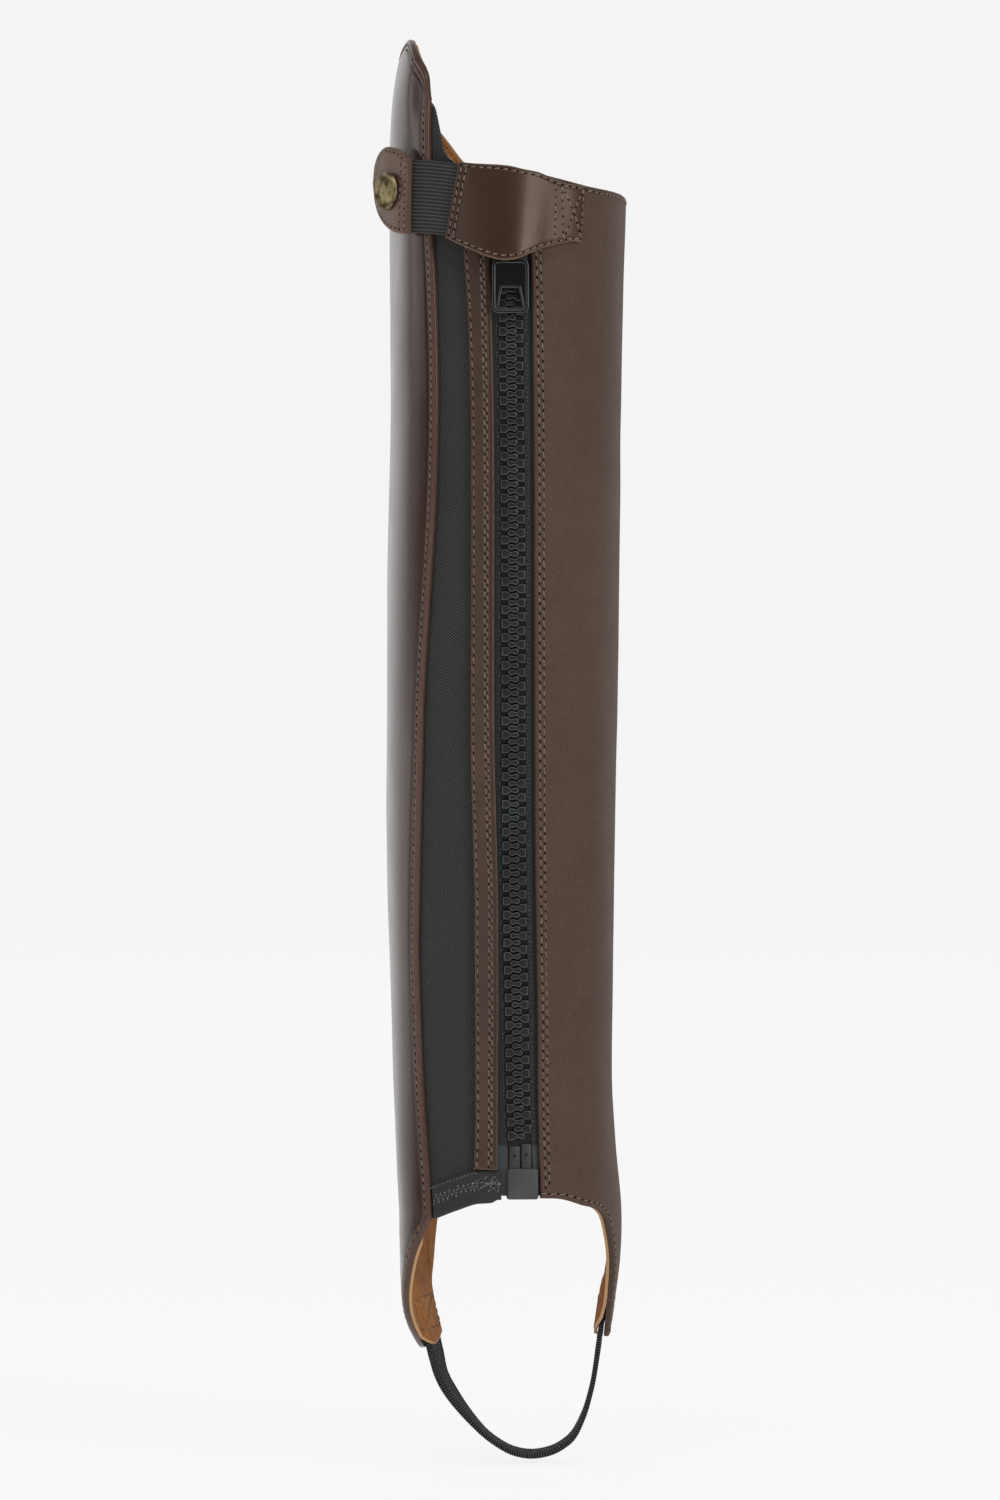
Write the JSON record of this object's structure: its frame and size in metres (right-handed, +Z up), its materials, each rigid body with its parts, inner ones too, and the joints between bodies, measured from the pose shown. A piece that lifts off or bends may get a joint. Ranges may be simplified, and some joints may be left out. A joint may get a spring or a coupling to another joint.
{
  "type": "half chap",
  "caption": "Leather half chap for the left lower leg, zipped up the back, with an elastic gusset, a snapped closure tab and an elastic foot strap.",
  "frame": {"origin": "inside the tube near its top, on the leg's middle, where the calf holds the chap up", "axes": "+Z up the leg, +Y towards the shin, -Y towards the zip and the calf, +X towards the inner side of the left leg"},
  "size_m": [0.0863, 0.1494, 0.4839],
  "materials": {
    "smooth_leather": "glossy smooth dark brown",
    "grained_leather": "matte fine-grained brown",
    "facing_leather": "satin reddish brown",
    "tab_leather": "semi-gloss chocolate brown",
    "suede_lining": "tan suede",
    "elastic": "black twill-woven elastic",
    "hem_tape": "black folded elastic hem",
    "strap_elastic": "black cross-ribbed elastic",
    "webbing": "black ribbed elastic webbing",
    "zip_tape": "black woven zip tape",
    "zip_plastic": "black moulded, semi-gloss",
    "zip_box": "dark grey moulded",
    "thread": "brown twisted sewing thread",
    "snap_brass": "antique brass"
  },
  "bodies": {
    "chap": {"outer_panel": "smooth_leather", "inner_panel": "grained_leather", "facing_strip": "facing_leather", "closure_tab": "tab_leather", "snap_tab": "tab_leather", "outer_lining": "suede_lining", "inner_lining": "suede_lining", "elastic_panel": "elastic", "elastic_hem": "hem_tape", "foot_strap": "strap_elastic", "tab_webbing": "webbing", "zip_tape_outer": "zip_tape", "zip_tape_inner": "zip_tape", "zip_chain": "zip_plastic", "zip_slider": "zip_plastic", "zip_pin": "zip_plastic", "zip_retainer": "zip_plastic", "zip_box": "zip_box", "snap_cap": "snap_brass", "snap_stud": "snap_brass"},
    "pull": {"zip_pull": "zip_plastic"}
  },
  "joints": [
    {"name": "pull_swing", "type": "hinge", "parent": "chap", "child": "pull", "pos_m": [0.00344, -0.07161, -0.02176], "axis": [-0.9998, -0.0184, 0], "range_deg": [0, 20]}
  ]
}
